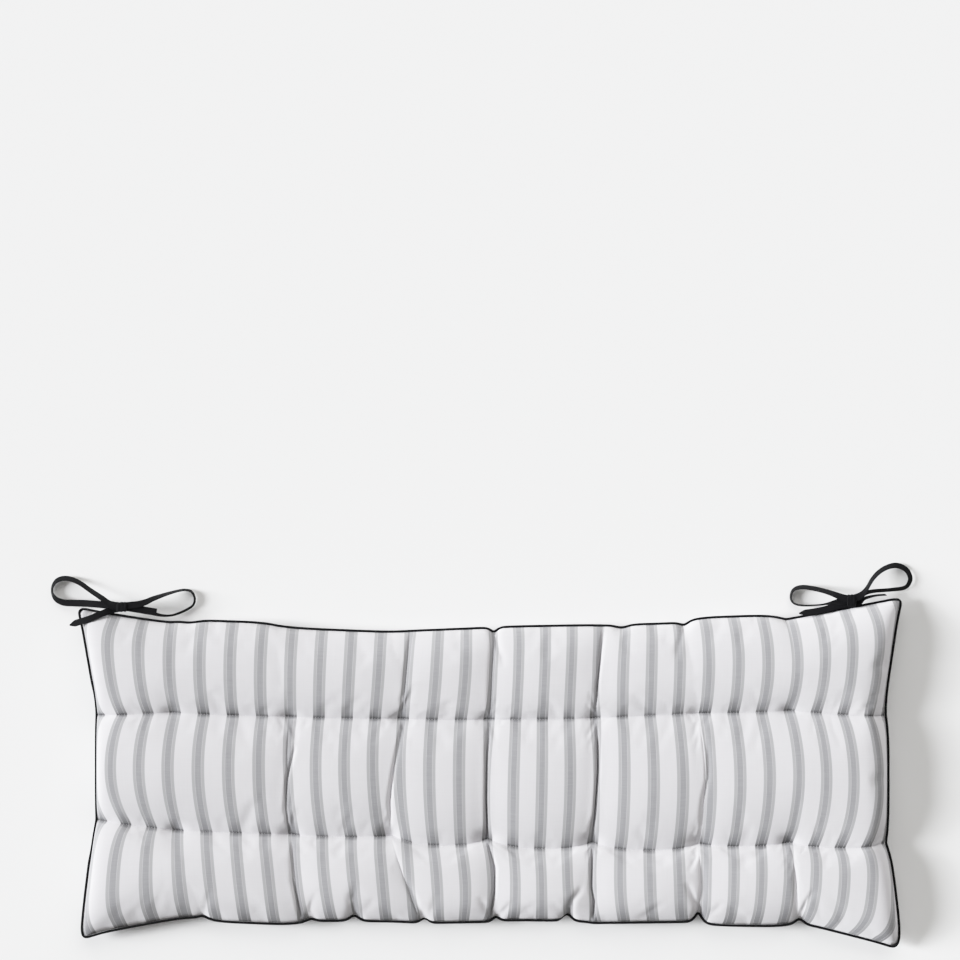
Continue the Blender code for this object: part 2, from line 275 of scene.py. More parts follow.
lineXY = np.array(cushionSet["linePlaces"], dtype=float).reshape(-1, 4, 2) * mm
lineXY[0, :, 0] += cushionSet["inset"]
lineXY[-1, :, 0] -= cushionSet["inset"]
lineXY[:, 0, 1] += cushionSet["inset"]
lineXY[:, -1, 1] -= cushionSet["inset"]
lineStripe = np.array(cushionSet["lineStripes"], dtype=float)
linePull = np.array(cushionSet["linePulls"], dtype=float)
lineBow = np.array(cushionSet["lineBows"]) * mm
lastPuff, lastBand = len(lineXY) - 2, 2


def closerShares(steps, near, startSewn, endSewn):
    # shares from 0 to 1 whose steps are shorter beside a sewn end
    t = np.arange(steps) / steps
    if startSewn and endSewn:
        return t - near * np.sin(2 * np.pi * t) / (2 * np.pi)
    bend = near * np.sin(np.pi * t) / np.pi
    return t - bend if startSewn else t + bend


def gridOf(cell, near):
    # steps across each puff and along each band, as even as they can be away from the lines
    across, along = [], []
    for puff in range(lastPuff + 1):
        width = float(np.mean(lineStripe[puff + 1] - lineStripe[puff])) * cushionSet["pitch"]
        steps = max(4, round(width / cell))
        shares = closerShares(steps, near, puff > 0, puff < lastPuff)
        across += [(puff, share) for share in shares]
    across.append((lastPuff, 1.0))
    rows = cushionSet["panelRows"]
    for band in range(lastBand + 1):
        steps = max(4, round((rows[band + 1] - rows[band]) / cell))
        shares = closerShares(steps, near, band > 0, band < lastBand)
        along += [(band, share) for share in shares]
    along.append((lastBand, 1.0))
    puff, s = (np.array(v) for v in zip(*across))
    band, t = (np.array(v) for v in zip(*along))
    shape = (len(along), len(across))
    return (np.broadcast_to(puff, shape).ravel(), np.repeat(band, shape[1]),
            np.broadcast_to(s, shape).ravel(), np.repeat(t, shape[1]), shape)


def between(values, puff, band, s, t):
    # a value of the four line crossings round each point, by its shares across and along
    near = mix(values[puff, band], values[puff + 1, band], s)
    far = mix(values[puff, band + 1], values[puff + 1, band + 1], s)
    return mix(near, far, t)


def awayOf(x, y, line, row):
    return np.hypot(x - lineXY[line, row, 0], y - lineXY[line, row, 1])


def planOf(puff, band, s, t):
    c = cushionSet
    x = between(lineXY[:, :, 0], puff, band, s, t)
    y = between(lineXY[:, :, 1], puff, band, s, t)
    x = x + mix(lineBow[puff, band], lineBow[puff + 1, band], s) * 4 * t * (1 - t)
    swellS, swellT = dome(s, c["edgeRoundness"]), dome(t, c["edgeRoundness"])
    y = y - np.array(c["frontSwell"])[puff] * mm * swellS * (1 - t) ** 2 * (band == 0)
    y = y + np.array(c["backSwell"])[puff] * mm * swellS * t**2 * (band == lastBand)
    for row in (1, 2):
        sag = np.array(c["sags"][row - 1])[puff] * mm * dome(s, c["sagRoundness"])
        y = y - sag * (t * (band == row - 1) + (1 - t) * (band == row))
    for nicks, side, edge, share in (("frontNicks", 1, 0, 1 - t), ("backNicks", -1, lastBand, t)):
        for nick, depth, reach in c[nicks]:
            y = y + side * depth * mm * bell(x / mm - nick, reach) \
                * share ** c["nickFade"] * (band == edge)
    x = x - np.array(c["leftSwell"])[band] * mm * swellT * (1 - s) ** 2 * (puff == 0)
    x = x + np.array(c["rightSwell"])[band] * mm * swellT * s**2 * (puff == lastPuff)
    for line, side in ((0, 1), (-1, -1)):
        for row, end in ((0, 1), (-1, -1)):
            away = awayOf(x, y, line, row)
            tuck = np.maximum(0, 1 - away / c["cornerTuckReach"]) * c["cornerTuck"] * math.sqrt(0.5)
            x, y = x + side * tuck, y + end * tuck
    return x, y


def rimOf(x, y):
    c = cushionSet
    away = np.min([awayOf(x, y, line, row) for line in (0, -1) for row in (0, -1)], axis=0)
    return c["rimHeight"] - c["cornerDroop"] * bell(away, c["cornerReach"])


def profileOf(share, startFall, endFall, roundness):
    return dome(share, roundness) ** mix(startFall, endFall, share)


def heightOf(puff, band, s, t, x, y, under):
    c = cushionSet
    rim = rimOf(x, y)
    pull = np.zeros_like(x)
    for line in range(1, lastPuff + 1):
        for row in (1, 2):
            away = awayOf(x, y, line, row)
            pull = np.maximum(pull, bell(away, c["tuftReach"]))
    left, right = c["sideFades"]
    fade = np.where(puff == 0, s / left, np.where(puff == lastPuff, (1 - s) / right, 1.0))
    lift = c["rightLift"] * eased(s) * (puff == lastPuff)
    seams = [rim]
    for row in (0, 1):
        sewn = c["sewnUnder"] + c["tuftPinch"] * pull if under \
            else c["sewnTop"][row] - c["tuftPinch"] * pull + lift
        seams.append(mix(rim, sewn, eased(fade)))
    seams = np.array([*seams, rim])
    place = np.arange(len(x))
    level = mix(seams[band, place], seams[band + 1, place], t)
    ends = (puff == 0) | (puff == lastPuff)
    falls = np.array(c["bandFalls"])[band]
    along = profileOf(t, falls[:, 0], falls[:, 1], np.array(c["bandRoundness"])[band])
    atLine, atEnd = c["puffFalls"]
    across = profileOf(s, np.where(puff == 0, atEnd, atLine),
                       np.where(puff == lastPuff, atEnd, atLine),
                       np.where(ends, c["endRoundness"], c["puffRoundness"]))
    near, far = linePull[puff, band], linePull[puff + 1, band]
    pulled = np.where(ends, np.where(s < 0.5, near, far), mix(near, far, eased(s)))
    fullness = along * (1 - pulled * (1 - across))
    if under:
        return np.maximum(0.0, mix(level, -c["underFullness"], fullness))
    away = np.where(puff == 0, 1 - s, np.where(puff == lastPuff, s, 0.0))
    crown = np.array(c["crowns"])[band] * mix(1.0, c["endCrownShare"], eased(away))
    return mix(level, crown, fullness)


def sheetFaces(shape):
    rows, columns = shape
    a = (np.arange(rows - 1)[:, None] * columns + np.arange(columns - 1)).ravel()
    return np.stack([a, a + 1, a + columns + 1, a + columns], axis=1)


clothSet = {
    "frames": 24,
    "drawnBy": 8,  # the frame by which the seams have been drawn to their places
    "cap": 16 * mm,  # the furthest it may move
    "cloth": {
        "quality": 5, "mass": 0.1, "tension_stiffness": 15.0, "compression_stiffness": 15.0,
        "shear_stiffness": 3.0, "bending_stiffness": 0.5, "tension_damping": 5.0,
        "compression_damping": 5.0, "shear_damping": 5.0, "air_damping": 1.0,
        "vertex_group_mass": "sewn", "pin_stiffness": 4.0, "use_pressure": True,
        "uniform_pressure_force": 8.0,
    },
}


def billow(places, flat, pins, faces, s):
    # the top panel starts flat, as it was cut, its seams are drawn to where they are sewn and
    # the filling blows it up
    piece = newPiece("billow", flat, faces.tolist())
    piece.shape_key_add(name="cut")
    sewn = piece.shape_key_add(name="sewn")
    sewn.data.foreach_set("co", places.ravel())
    group = piece.vertex_groups.new(name="sewn")
    for weight in np.unique(pins[pins > 0]):
        group.add(np.flatnonzero(pins == weight).tolist(), float(weight), "REPLACE")
    cloth = piece.modifiers.new("cloth", "CLOTH")
    for setting, value in s["cloth"].items():
        setattr(cloth.settings, setting, value)
    cloth.settings.effector_weights.gravity = 0
    cloth.collision_settings.use_collision = False
    cloth.point_cache.frame_start = 1
    cloth.point_cache.frame_end = s["frames"]
    for value, number in ((0.0, 1), (1.0, s["drawnBy"])):
        sewn.value = value
        sewn.keyframe_insert("value", frame=number)
    scene = bpy.context.scene
    for number in range(1, s["frames"] + 1):
        scene.frame_set(number)
    shown = piece.evaluated_get(bpy.context.evaluated_depsgraph_get())
    moved = np.empty(len(places) * 3)
    shown.data.vertices.foreach_get("co", moved)
    moved = moved.reshape(-1, 3)
    bpy.data.objects.remove(piece, do_unlink=True)
    for action in list(bpy.data.actions):
        bpy.data.actions.remove(action)
    scene.frame_set(1)
    step = moved - places
    length = np.linalg.norm(step, axis=1, keepdims=True)
    return places + step * np.minimum(1, s["cap"] / np.maximum(length, 1e-9))


def looseCloth(band, t, top):
    # the cloth as cut: a little larger than the filling, with more of it beside the creases and
    # less between them
    c = cushionSet
    x, y, z = top.T
    along = np.sin(np.pi * t) ** c["creaseFade"]
    extra = np.zeros_like(x)
    whole = np.zeros_like(x)
    for line in range(1, lastPuff + 1):
        near, far = lineXY[line, band], lineXY[line, band + 1]
        place = mix(near[:, 0], far[:, 0], t) + lineBow[line, band] * 4 * t * (1 - t)
        amount = linePull[line, band] * c["creaseCloth"] * along
        extra = extra + amount * np.tanh((x - place) / c["creaseReach"]) / 2
        whole = whole + amount / 2
    extra = extra - whole * x / lineXY[-1, 1, 0]
    return np.stack([x * (1 + c["slack"]) + extra, y * (1 + c["slack"]), z], axis=1)


def refined(values, at, wanted):
    # smooth values between the rows of a grid
    slope = np.gradient(values, at, axis=0)
    k = np.clip(np.searchsorted(at, wanted, side="right") - 1, 0, len(at) - 2)
    width = (at[k + 1] - at[k])[:, None, None]
    u = ((wanted - at[k]) / (at[k + 1] - at[k]))[:, None, None]
    return (values[k] * (2 * u**3 - 3 * u**2 + 1) + slope[k] * width * (u**3 - 2 * u**2 + u)
            + values[k + 1] * (3 * u**2 - 2 * u**3) + slope[k + 1] * width * (u**3 - u**2))


def calmed(moved, puff, band, s, x, y):
    # the cloth lies smooth over the lines where no crease is pulled
    c = cushionSet
    width = lineXY[puff + 1, band, 0] - lineXY[puff, band, 0]
    calm = np.zeros(len(s))
    for line, away in ((puff, s * width), (puff + 1, (1 - s) * width)):
        flat = linePull[line, band] < c["leastPull"]
        calm = np.maximum(calm, bell(away, c["calmReach"]) * flat)
    for calmX, calmY, reach in c["calmSpots"]:
        away = np.hypot(x - calmX * mm, y - calmY * mm)
        calm = np.maximum(calm, bell(away, reach * mm))
    calm = calm.reshape(moved.shape[:2])[:, 1:-1, None]
    for _ in range(c["calming"]):
        soft = (moved[:, :-2] + 2 * moved[:, 1:-1] + moved[:, 2:]) / 4
        moved[:, 1:-1] = mix(moved[:, 1:-1], soft, calm)
    return moved


def awayFrom(x, y, points):
    # each place's distance to the right of a fold, and its share along it
    points = np.array(points) * mm
    lengths = np.linalg.norm(np.diff(points, axis=0), axis=1)
    starts = np.concatenate([[0], np.cumsum(lengths)])
    best = np.full(x.shape, 1e9)
    side, along = np.zeros_like(x), np.zeros_like(x)
    for k, length in enumerate(lengths):
        dx, dy = (points[k + 1] - points[k]) / length
        px, py = x - points[k, 0], y - points[k, 1]
        run = px * dx + py * dy
        held = np.clip(run, 0, length)
        away = np.hypot(px - held * dx, py - held * dy)
        near = away < best
        best = np.where(near, away, best)
        side = np.where(near, np.where(px * dy - py * dx > 0, 1.0, -1.0) * away, side)
        along = np.where(near, (starts[k] + held) / starts[-1], along)
    return side, along, best


def foldIn(top, fold, c):
    # a sharp fold: the cloth dips along it and its two lips lean together
    points, depth, width, pinch = fold
    wider, shallower = c["foldSkirt"]
    side, along, away = awayFrom(top[:, 0], top[:, 1], points)
    strength = np.clip(4 * along * (1 - along), 0, 1) ** c["foldFade"]
    near = bell(away, width * mm) * strength
    wide = bell(away, wider * width * mm) * strength
    first, last = np.array(points[0]), np.array(points[-1])
    dx, dy = (last - first) / np.linalg.norm(last - first)
    top = top.copy()
    top[:, 2] -= depth * mm * near - shallower * depth * mm * (wide - near)
    top[:, 0] -= side * dy * pinch * wide
    top[:, 1] += side * dx * pinch * wide
    return top


def dimple(top, place, size):
    (dx, dy), depth, (across, along) = size
    away = ((top[:, 0] - place[0] - dx * mm) / (across * mm)) ** 2 \
        + ((top[:, 1] - place[1] - dy * mm) / (along * mm)) ** 2
    top = top.copy()
    top[:, 2] -= depth * mm * np.exp(-away)
    return top


def makeCushion():
    c = cushionSet
    puff, band, s, t, shape = gridOf(c["cell"], c["gathering"])
    x, y = planOf(puff, band, s, t)
    start = np.stack([x, y, heightOf(puff, band, s, t, x, y, False)], axis=1)
    edge = ((puff == 0) & (s == 0)) | ((puff == lastPuff) & (s == 1)) | \
        ((band == 0) & (t == 0)) | ((band == lastBand) & (t == 1))
    sewn = (t == 0) & (band > 0)
    held = np.where((s == 0) & (puff > 0), linePull[puff, band] * c["creaseHold"], 0.0)
    held = np.where(held < c["leastPull"], 0.0, held)
    pins = np.where(edge | sewn, 1.0, np.round(held, 3))
    top = start
    top = billow(start, looseCloth(band, t, start), pins, sheetFaces(shape), clothSet)
    moved = (top - start).reshape(*shape, 3)
    across, along = (puff + s)[:shape[1]], (band + t)[::shape[1]]

    puff, band, s, t, shape = gridOf(c["fineCell"], c["fineGathering"])
    x, y = planOf(puff, band, s, t)
    moved = refined(moved, along, (band + t)[::shape[1]])
    moved = refined(moved.transpose(1, 0, 2), across, (puff + s)[:shape[1]]).transpose(1, 0, 2)
    moved = calmed(moved, puff, band, s, x, y).reshape(-1, 3)
    top = np.stack([x, y, heightOf(puff, band, s, t, x, y, False)], axis=1) + moved
    flat = flatOf(top, puff, band, s, t, shape)
    for line in range(1, lastPuff + 1):
        for row in (1, 2):
            top = dimple(top, lineXY[line, row], c["dimples"][row - 1])
    for fold in c["folds"]:
        top = foldIn(top, fold, c)
    under = heightOf(puff, band, s, t, x, y, True)
    follow = c["underFollows"] * moved
    under = np.stack([x + follow[:, 0], y + follow[:, 1],
                      np.maximum(0, under - follow[:, 2])], axis=1)
    index = np.arange(len(top)).reshape(shape)
    ring = np.concatenate([index[0, :-1], index[:-1, -1], index[-1, :0:-1], index[:0:-1, 0]])
    under[ring] = top[ring]
    rowT, rowBand = t[::shape[1]], band[::shape[1]]
    sewnRows = [top[index[row]] for row in np.flatnonzero((rowT == 0) & (rowBand > 0))]
    return coverMesh(top, under, flat, shape), top[ring], sewnRows


def flatOf(top, puff, band, s, t, shape):
    # where each place of the cover lies on the flat cloth: across, in step with the cloth's length
    # from line to line
    c = cushionSet
    grid = top.reshape(*shape, 3)
    run = np.linalg.norm(np.diff(grid, axis=1), axis=2)
    run = np.concatenate([np.zeros((shape[0], 1)), np.cumsum(run, axis=1)], axis=1)
    at = (puff + s)[:shape[1]]
    starts = np.searchsorted(at, np.arange(lastPuff + 2))
    first, last = run[:, starts[puff[:shape[1]]]], run[:, starts[puff[:shape[1]] + 1]]
    share = (run - first) / (last - first)
    for _ in range(c["stripeSmoothing"]):
        share[1:-1] = (share[:-2] + 2 * share[1:-1] + share[2:]) / 4
    share = share.ravel()
    rows = np.array(c["panelRows"])
    return np.stack([between(lineStripe, puff, band, share, t) * c["pitch"],
                     mix(rows[band], rows[band + 1], t)], axis=1)


def coverMesh(top, under, flat, shape):
    # two panels on one grid, sewn together round the rim
    rows, columns = shape
    index = np.arange(rows * columns).reshape(shape)
    below = index + rows * columns
    below[0], below[-1], below[:, 0], below[:, -1] = index[0], index[-1], index[:, 0], index[:, -1]
    used = np.unique(np.concatenate([index.ravel(), below.ravel()]))
    renumber = np.full(2 * rows * columns, -1)
    renumber[used] = np.arange(len(used))
    upper = sheetFaces(shape)
    lower = renumber[below.ravel()][upper][:, ::-1]
    points = np.concatenate([top, under])[used] + middle
    piece = newPiece("cover", points, np.concatenate([upper, lower]).tolist())
    corners = np.concatenate([upper.ravel(), upper[:, ::-1].ravel()])
    return mapped(piece, flat[corners])


cover, rimPath, sewnPaths = makeCushion()
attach(cover, "root")
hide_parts("cushion")
print("cushion made", len(cover.data.polygons))


pipingSet = {
    "radius": 1.9 * mm,
    "offset": 2.1 * mm,
    "backTuck": 0.9 * mm,  # how much deeper it lies under the cover at the back
    "leftTuck": 1.5 * mm,  # and along the middle of the left side,
    "leftReach": (140 * mm, 30 * mm),  # to here, fading over this length
    # at two cusps of the front edge: x, depth and reach
    "frontTucks": ((-97 * mm, 3.2 * mm, 7 * mm), (111 * mm, 3.2 * mm, 7 * mm)),
    "step": 2.5 * mm,
    "sides": 12,
    "smoothing": 3,
    # how far a side faces back or left where its tuck starts, and how gently each comes in
    "facing": (0.5, 0.5, 0.3),
}


sharpAngle = 50  # degrees; the edges of tape are sharper than this


def sweep(name, path, sections, closed, girth):
    # rings of points along a path, joined into one closed skin; sections is path by ring by 3
    steps, ring = sections.shape[:2]
    rows = steps if closed else steps - 1
    a = np.arange(rows)[:, None] * ring
    b = ((np.arange(rows) + 1) % steps)[:, None] * ring
    k, j = np.arange(ring), (np.arange(ring) + 1) % ring
    faces = np.stack([a + k, a + j, b + j, b + k], axis=2).reshape(-1, 4)
    allFaces = faces.tolist()
    if not closed:
        allFaces += [list(range(ring))[::-1], [(steps - 1) * ring + each for each in range(ring)]]
    piece = newPiece(name, sections.reshape(-1, 3), allFaces)
    run = runOf(path)
    run = np.append(run, run[-1] + np.linalg.norm(path[0] - path[-1]))
    around = np.arange(ring + 1) / ring * girth
    uv = np.stack([np.stack(np.broadcast_arrays(around[k + u], run[v:rows + v, None]), axis=2)
                   for u, v in ((0, 0), (1, 0), (1, 1), (0, 1))], axis=2)
    values = uv.reshape(-1, 2)
    if not closed:
        values = np.concatenate([values, np.zeros((2 * ring, 2))])
    mapped(piece, values).data.set_sharp_from_angle(angle=math.radians(sharpAngle))
    return piece


def evenPath(points, step, closed):
    points = np.asarray(points)
    if closed:
        points = np.concatenate([points, points[:1]])
    run = runOf(points[:, :3])
    count = max(4, round(run[-1] / step))
    at = np.linspace(0, run[-1], count + 1)
    even = np.stack([np.interp(at, run, points[:, k]) for k in range(points.shape[1])], axis=1)
    return even[:-1] if closed else even


def makePiping(s):
    path = evenPath(rimPath, s["step"], True)
    ahead = np.roll(path, -1, axis=0) - np.roll(path, 1, axis=0)
    out = unit(np.stack([ahead[:, 1], -ahead[:, 0], 0 * ahead[:, 0]], axis=1))
    facing, back, left = s["facing"]
    tuck = s["backTuck"] * eased((out[:, 1] - facing) / back)
    reach, fade = s["leftReach"]
    tuck += s["leftTuck"] * eased((-out[:, 0] - facing) / left) \
        * eased((reach - np.abs(path[:, 1])) / fade)
    for x, depth, reach in s["frontTucks"]:
        tuck += depth * bell(path[:, 0] - x, reach) * (out[:, 1] < 0)
    path = path + out * (s["offset"] - tuck)[:, None]
    for _ in range(s["smoothing"]):
        path = (np.roll(path, 1, axis=0) + 2 * path + np.roll(path, -1, axis=0)) / 4
    path = evenPath(path, s["step"], True)
    _, side, up = axesOf(np.roll(path, -1, axis=0) - np.roll(path, 1, axis=0))
    turn = turnsOf(s["sides"])[:, None]
    rings = path[:, None] + s["radius"] * (np.cos(turn) * side[:, None]
                                           + np.sin(turn) * up[:, None])
    return sweep("pipingCord", path, rings + middle, True, 2 * np.pi * s["radius"])


piping = makePiping(pipingSet)
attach(piping, "root")
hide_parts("piping")
print("piping made", len(piping.data.polygons))


# the stitches of the two sewn rows
stitchSet = {
    "pitch": 4.2 * mm,
    "length": 3.3 * mm,
    "radius": 0.28 * mm,
    "sunk": 0.12 * mm,
    "span": (-552 * mm, 590 * mm),  # along the cushion
    "shape": ((0.0, 0.25, -0.9), (0.12, 0.8, -0.2), (0.5, 1.0, 0.5), (0.88, 0.8, -0.2),
              (1.0, 0.25, -0.9)),  # share along, thickness and height, in radii
    "sides": 6,
}


def makeStitches(s):
    shares, thick, high = np.array(s["shape"]).T
    turn = turnsOf(s["sides"])[:, None]
    up = np.array((0, 0, 1))
    rings = []
    for path in sewnPaths:
        path = path[(path[:, 0] > s["span"][0]) & (path[:, 0] < s["span"][1])]
        run = runOf(path)
        for start in np.arange(0, run[-1] - s["pitch"], s["pitch"]):
            at = start + shares * s["length"]
            spots = np.stack([np.interp(at, run, path[:, k]) for k in range(3)], axis=1)
            side = unit(np.cross(spots[-1] - spots[0], up))
            spots += (high * s["radius"] - s["sunk"])[:, None] * up
            ring = side * np.cos(turn) + up * np.sin(turn)
            rings.append(spots[:, None] + (thick * s["radius"])[:, None, None] * ring)
    points = np.concatenate(rings).reshape(-1, 3)
    sides, last = s["sides"], (len(shares) - 1) * s["sides"]
    k = np.arange(sides)
    loop = np.stack([k, (k + 1) % sides, (k + 1) % sides + sides, k + sides], axis=1)
    one = [face for ring in range(0, last, sides) for face in (loop + ring).tolist()]
    one += [list(range(sides))[::-1], list(range(last, last + sides))]
    faces = [[first + each for each in face]
             for first in range(0, len(points), last + sides) for face in one]
    piece = newPiece("rowStitches", points + middle, faces)
    return outwards(mapped(piece, points[[each for face in faces for each in face], :2]))


stitches = makeStitches(stitchSet)
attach(stitches, "root")
print("stitches made", len(stitches.data.polygons))


# the bows' tapes, close to the solids' routes
tapeSet = {
    "width": 10.5 * mm,
    "thickness": 1.2 * mm,
    "routeStep": 1.5 * mm,
    "step": 2.5 * mm,
    "sides": 20,
    "edge": 3.2,  # how squarely the tape's edges are cut
    "pointReach": 9 * mm,
    "pointShare": 0.2,  # the width that is left at a pointed end
    "pointed": ("tail_left_outer", "tail_right_inner"),
    # x, y and z in millimetres from the cushion's middle and the floor, then the lean in degrees,
    # 0 where the tape stands on its edge and 90 either way where it is flat
    "routes": {
        "loop_left_outer": (
            (-554.2, 248, 41.2, 87), (-560, 249, 41, 84), (-567, 251.5, 39.5, 62),
            (-577, 259, 35.5, 45), (-595, 269.8, 24, 38), (-614, 281.8, 15, 38),
            (-632, 287.6, 10, 44), (-646, 285, 8, 42), (-653.3, 276.5, 6.5, 28),
            (-654.3, 266, 6.5, 25),
            (-648.5, 256.5, 7.5, 50), (-637, 251.5, 10, 72), (-622, 250.8, 14, 80),
            (-604, 250.6, 21, 82), (-588, 249.8, 29, 83), (-572, 248.6, 35, 85),
            (-561, 247.5, 37.8, 87), (-554.2, 247, 37.9, 88),
        ),
        "loop_left_inner": (
            (-541, 248, 41.2, -88), (-534, 248.6, 41, -84), (-522, 250, 40, -74),
            (-511, 253.5, 36.5, -58), (-501, 258, 31, -46), (-484, 264, 22, -30),
            (-465, 269.2, 12, -20), (-453.5, 270.2, 8.5, -18), (-445.5, 267, 6.6, -14),
            (-441.3, 258, 6, -12), (-442.8, 249, 6, -14), (-449, 243.2, 6.6, -17),
            (-462, 236.6, 10, -18), (-475, 232.6, 16, -18), (-489, 232.6, 23, -24),
            (-505, 236.8, 29.3, -40),
            (-523, 241.5, 32.8, -68), (-535, 244, 34.5, -84), (-541, 244.5, 34.6, -88),
        ),
        "loop_right_inner": (
            (532.3, 258.5, 41.2, 87), (525, 259.5, 41, 82), (517, 262.5, 39.5, 66),
            (508, 266, 35.5, 50), (495, 270, 28, 42), (480, 273.2, 20, 40), (468, 274.6, 14, 38),
            (458.5, 273.2, 9.5, 30), (452, 268.4, 7, 18), (449.8, 259, 6, 12),
            (452.4, 251.8, 6, 12), (459.5, 248, 7, 15), (471, 247, 12, 15),
            (489, 248.2, 23, 14), (502, 250.2, 31, 22),
            (513, 252.5, 36.5, 50), (522, 254.5, 37.8, 80), (532.3, 255.5, 37.9, 88),
        ),
        "loop_right_outer": (
            (542.4, 259.5, 41.2, -88), (548, 261.5, 41.0, -78), (555, 267, 38.5, -48),
            (562, 276, 34, -26), (570.5, 288, 26, -30), (581, 297.8, 19, -36),
            (594, 304.6, 13, -42), (608, 306.8, 8.5, -52), (620.8, 301.6, 7, -50),
            (627.4, 292, 6.6, -48), (627.6, 283, 6.6, -45), (620, 273.8, 8, -38),
            (600, 270.8, 13.5, -34),
            (573, 269, 22, -34), (560, 266.6, 31, -42), (550.5, 262.6, 36.6, -68),
            (543, 260, 37.9, -87),
        ),
        "tail_left_outer": (
            (-554.2, 243, 34.6, 88), (-562, 241.3, 36.0, 88), (-577, 235.8, 42.5, 70),
            (-594, 228.8, 47.0, 68), (-611, 223.4, 43.0, 68), (-624.5, 218.8, 38.0, 70),
        ),
        "tail_left_inner": (
            (-540.8, 245.4, 37.9, 88), (-535, 245.2, 37.9, 88), (-525, 243.6, 37.6, 87),
            (-511, 240.8, 36.8, 86), (-495.5, 238.2, 36.2, 84),
        ),
        "tail_right_inner": (
            (532.3, 250.3, 34.6, 88), (524, 249.3, 34.6, 87), (512, 246.3, 34.9, 80),
            (500, 242.5, 35.2, 72), (482, 239, 35.3, 64), (459.5, 236.2, 34.8, 58),
        ),
        "tail_right_outer": (
            (542.6, 250.5, 34.6, -88), (546, 250.9, 34.6, -84), (551, 254.6, 34.2, -50),
            (557, 258.6, 33.8, -24), (573, 262.6, 32.5, -15), (589, 263.8, 29.5, -12),
        ),
    },
}


def smoothRoute(rows, step):
    rows = np.array(rows, dtype=float)
    ends = np.concatenate([rows[:1], rows, rows[-1:]])
    points = []
    for k in range(1, len(rows)):
        before, start, end, after = ends[k - 1:k + 3]
        pieces = max(1, round(np.linalg.norm((end - start)[:3]) * mm / step))
        for u in np.arange(pieces) / pieces:
            points.append(0.5 * (2 * start + (end - before) * u
                                 + (2 * before - 5 * start + 4 * end - after) * u**2
                                 + (3 * start - before - 3 * end + after) * u**3))
    points.append(rows[-1])
    return np.array(points) * (mm, mm, mm, math.pi / 180)


def makeTape(name, route, s):
    points = evenPath(smoothRoute(route, s["routeStep"]), s["step"], False)
    path, lean = points[:, :3], points[:, 3]
    ahead, side, up = axesOf(np.gradient(path, axis=0))
    across = up * np.cos(lean)[:, None] - side * np.sin(lean)[:, None]
    through = np.cross(ahead, across)
    turn = turnsOf(s["sides"])[:, None]
    wide = squared(np.cos(turn), s["edge"]) * s["width"] / 2
    thick = squared(np.sin(turn), s["edge"]) * s["thickness"] / 2
    run = np.linalg.norm(np.diff(path, axis=0), axis=1)
    left = np.concatenate([np.cumsum(run[::-1])[::-1], [0]])
    taper = np.ones(len(path))
    if name in s["pointed"]:
        taper = np.clip(mix(s["pointShare"], 1.0, left / s["pointReach"]), 0, 1)
    rings = (path[:, None] + across[:, None] * wide * taper[:, None, None]
             + through[:, None] * thick)
    piece = sweep(name + "_tape", path, rings + middle, False, 2 * s["width"])
    return outwards(piece), float(run.sum())


tapes = []
for name, route in tapeSet["routes"].items():
    tape, length = makeTape(name, route, tapeSet)
    knot = "knot_left" if "left" in name.split("_")[1] else "knot_right"
    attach(tape, "root")
    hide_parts(name)
    tapes.append(tape)


knotSet = {
    # x, y and z of the middle, then width, depth and height, in millimetres, and how far the
    # winding slants
    "knots": {
        "knot_left": (-547.6, 245.9, 38.2, 16.6, 15, 11.6, 1.6),
        "knot_right": (537.3, 255, 38.2, 13.6, 19.5, 11.6, -1.2),
    },
    # share along the winding, then its thickness there: the core that the strands run into,
    # the tape's edges and its two soft folds
    "profile": ((-1.0, 0.0), (-0.99, 0.45), (-0.94, 0.74), (-0.84, 0.80), (-0.80, 0.93),
                (-0.72, 1.0), (-0.5, 0.99), (-0.34, 0.93), (-0.2, 0.98), (0.0, 1.02), (0.18, 0.98),
                (0.3, 0.92), (0.46, 0.98), (0.7, 1.0), (0.8, 0.93), (0.84, 0.80), (0.94, 0.74),
                (0.99, 0.45), (1.0, 0.0)),
    "sides": 40,
    "squareness": 2.6,
    "lumps": 0.03,
    "leastShare": 0.02,  # of the thickness, at the winding's two ends
    "slantFade": 6,
    "girth": 45 * mm,
}


def makeKnot(name, x, y, z, width, depth, height, slant, s):
    turn = turnsOf(s["sides"])
    deep, tall = squared(np.cos(turn), s["squareness"]), squared(np.sin(turn), s["squareness"])
    rings = []
    for share, thick in s["profile"]:
        lumps = 1 + s["lumps"] * np.sin(3 * turn + 4 * share)
        thick = max(thick, s["leastShare"])
        held = 1 - abs(share) ** s["slantFade"]
        rings.append(np.stack([
            (share * width / 2 + slant * np.sin(turn) * held) * mm,
            deep * depth / 2 * thick * lumps * mm,
            tall * height / 2 * thick * lumps * mm], axis=1))
    centre = np.array((x, y, z)) * mm
    path = np.array([centre + (share * width / 2 * mm, 0, 0) for share, _ in s["profile"]])
    return outwards(sweep(name + "_wrap", path, np.array(rings) + centre + middle,
                          False, s["girth"]))


for name, sizes in knotSet["knots"].items():
    knot = makeKnot(name, *sizes, knotSet)
    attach(knot, "root")
    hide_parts(name)
    tapes.append(knot)
print("bows made")


def node(tree, kind, **values):
    made = tree.nodes.new(kind)
    for key, value in values.items():
        if key in made.inputs.keys():
            made.inputs[key].default_value = value
        else:
            setattr(made, key, value)
    return made


def setInputs(shader, values):
    for socket, value in values.items():
        shader.inputs[socket].default_value = value


def feed(tree, value, socket):
    if isinstance(value, (float, tuple)):
        socket.default_value = value
    else:
        tree.links.new(value, socket)


def maths(tree, operation, *values):
    made = node(tree, "ShaderNodeMath", operation=operation)
    for socket, value in zip(made.inputs, values):
        feed(tree, value, socket)
    return made.outputs[0]


